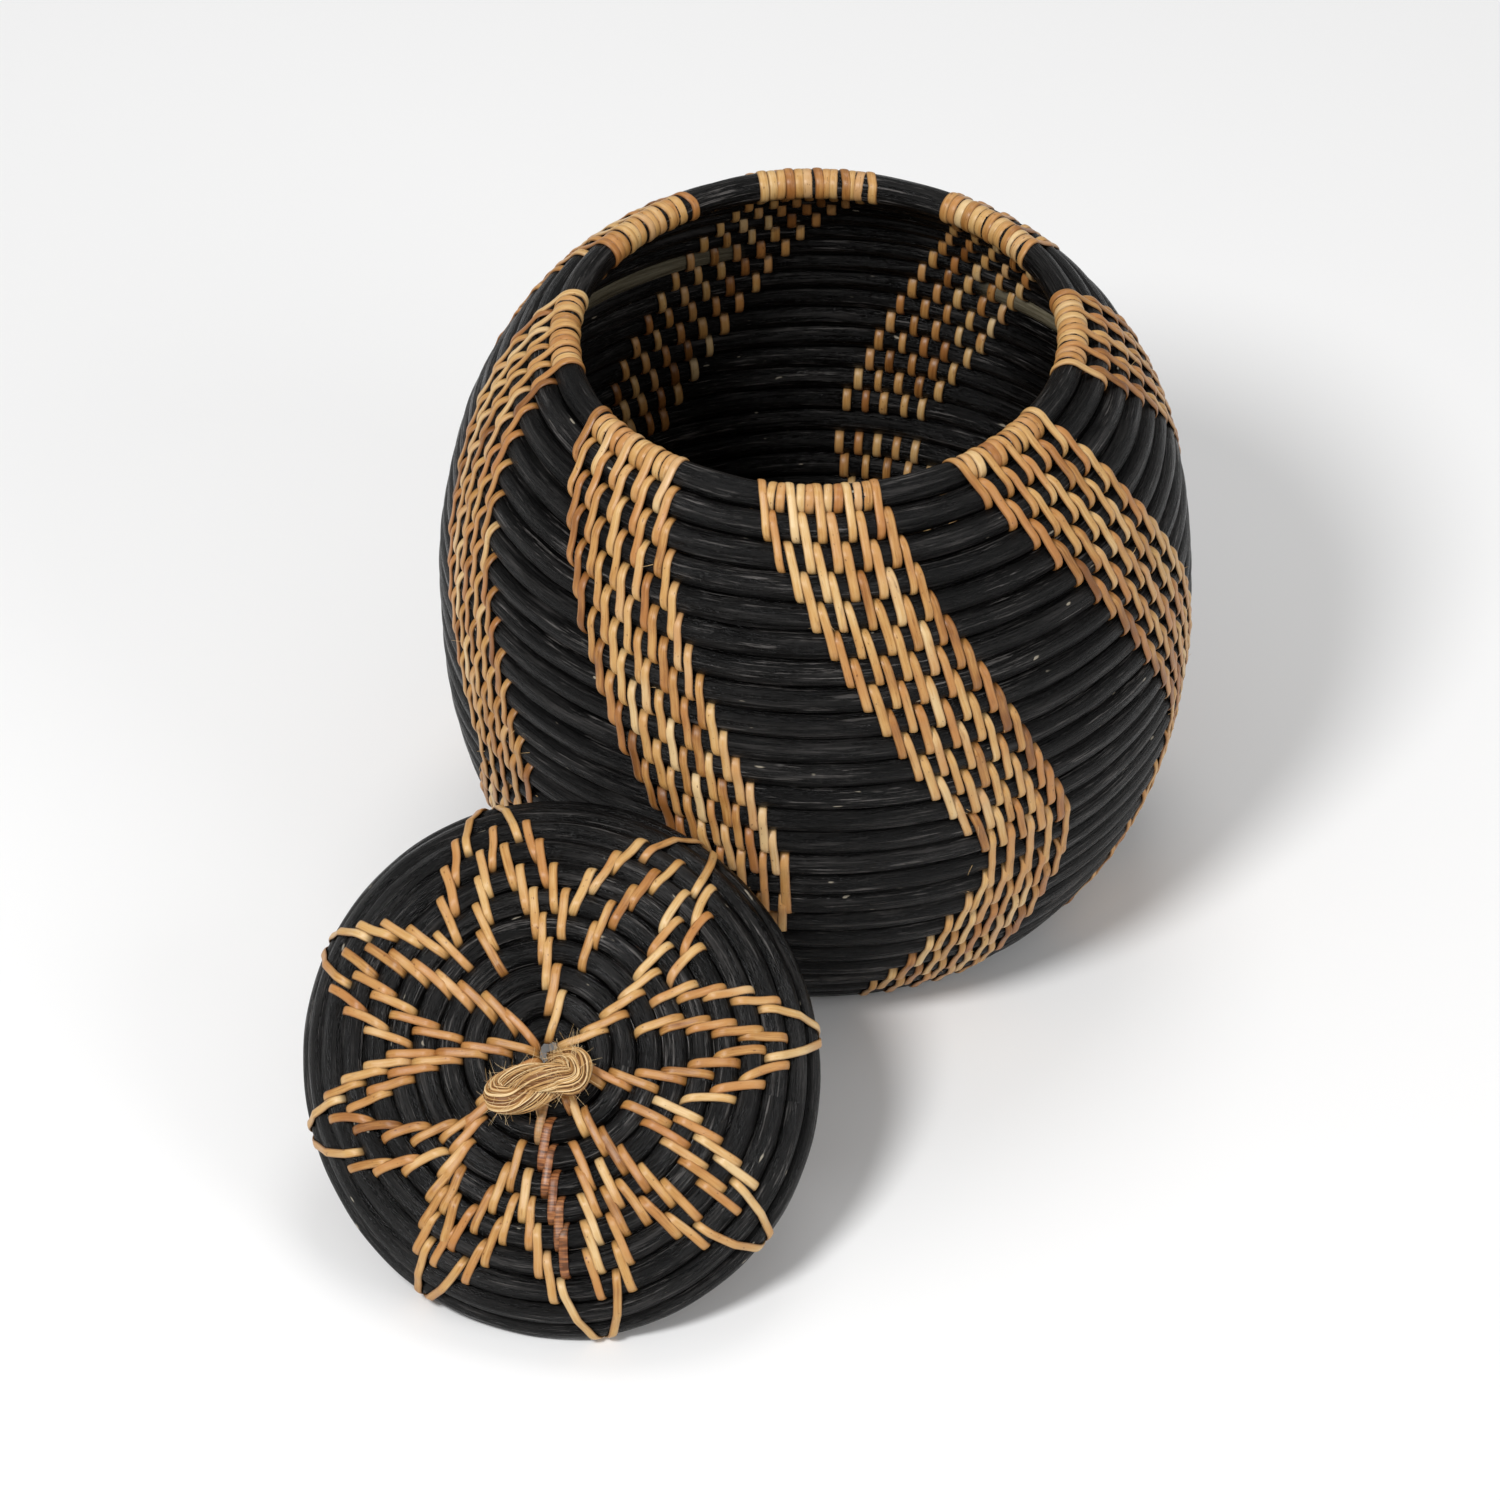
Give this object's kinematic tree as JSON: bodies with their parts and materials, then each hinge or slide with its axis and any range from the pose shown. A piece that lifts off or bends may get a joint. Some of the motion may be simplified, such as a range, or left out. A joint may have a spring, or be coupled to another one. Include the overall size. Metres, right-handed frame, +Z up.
{
  "type": "lidded coiled basket",
  "caption": "Round-bellied coiled rattan basket with a flat lid that leans on it; holds small things and is lifted open by a short rope handle",
  "frame": {"origin": "centre of the ring-shaped flat that the basket stands on, at floor level", "axes": "+Z up along the basket's axis; the lid leans on the side that faces -Y and a little -X"},
  "size_m": [0.3445, 0.4446, 0.2522],
  "materials": {
    "dyed_rattan": "black dyed rattan core, satin, with fine lengthwise grain",
    "split_cane": "natural split cane, honey to tan, semi-gloss skin",
    "rope_fibre": "pale straw-coloured twisted fibre rope, rough"
  },
  "bodies": {
    "basket": {"base_coil": "dyed_rattan", "foot_ring": "dyed_rattan", "lacing_band_1": "split_cane", "lacing_band_2": "split_cane", "lacing_band_3": "split_cane", "lacing_band_4": "split_cane", "lacing_band_5": "split_cane", "lacing_band_6": "split_cane", "lacing_band_7": "split_cane", "lacing_band_8": "split_cane", "rim_rod": "dyed_rattan", "rim_wrapping": "split_cane", "wall_rod_02": "dyed_rattan", "wall_rod_03": "dyed_rattan", "wall_rod_04": "dyed_rattan", "wall_rod_05": "dyed_rattan", "wall_rod_06": "dyed_rattan", "wall_rod_07": "dyed_rattan", "wall_rod_08": "dyed_rattan", "wall_rod_09": "dyed_rattan", "wall_rod_10": "dyed_rattan", "wall_rod_11": "dyed_rattan", "wall_rod_12": "dyed_rattan", "wall_rod_13": "dyed_rattan", "wall_rod_14": "dyed_rattan", "wall_rod_15": "dyed_rattan", "wall_rod_16": "dyed_rattan", "wall_rod_17": "dyed_rattan", "wall_rod_18": "dyed_rattan", "wall_rod_19": "dyed_rattan", "wall_rod_20": "dyed_rattan", "wall_rod_21": "dyed_rattan", "wall_rod_22": "dyed_rattan", "wall_rod_23": "dyed_rattan", "wall_rod_24": "dyed_rattan"},
    "lid": {"lid_petal_1": "split_cane", "lid_petal_2": "split_cane", "lid_petal_3": "split_cane", "lid_petal_4": "split_cane", "lid_petal_5": "split_cane", "lid_petal_6": "split_cane", "lid_petal_7": "split_cane", "lid_petal_8": "split_cane", "lid_rod_01": "dyed_rattan", "lid_rod_02": "dyed_rattan", "lid_rod_03": "dyed_rattan", "lid_rod_04": "dyed_rattan", "lid_rod_05": "dyed_rattan", "lid_rod_06": "dyed_rattan", "lid_rod_07": "dyed_rattan", "lid_rod_08": "dyed_rattan", "lid_rod_09": "dyed_rattan", "lid_rod_10": "dyed_rattan", "lid_rod_11": "dyed_rattan", "handle_knot": "rope_fibre"},
    "rope_handle": {"handle_rope": "rope_fibre"}
  },
  "joints": [
    {"name": "lid_lift", "type": "slide", "parent": "basket", "child": "lid", "axis": [-0.1439, -0.5772, 0.8039], "range_m": [0, 0.25]},
    {"name": "handle_flop", "type": "hinge", "parent": "lid", "child": "rope_handle", "pos_m": [-0.10151, -0.22926, 0.08748], "axis": [-0.9616, -0.1104, -0.2514], "range_deg": [0, 108]}
  ]
}
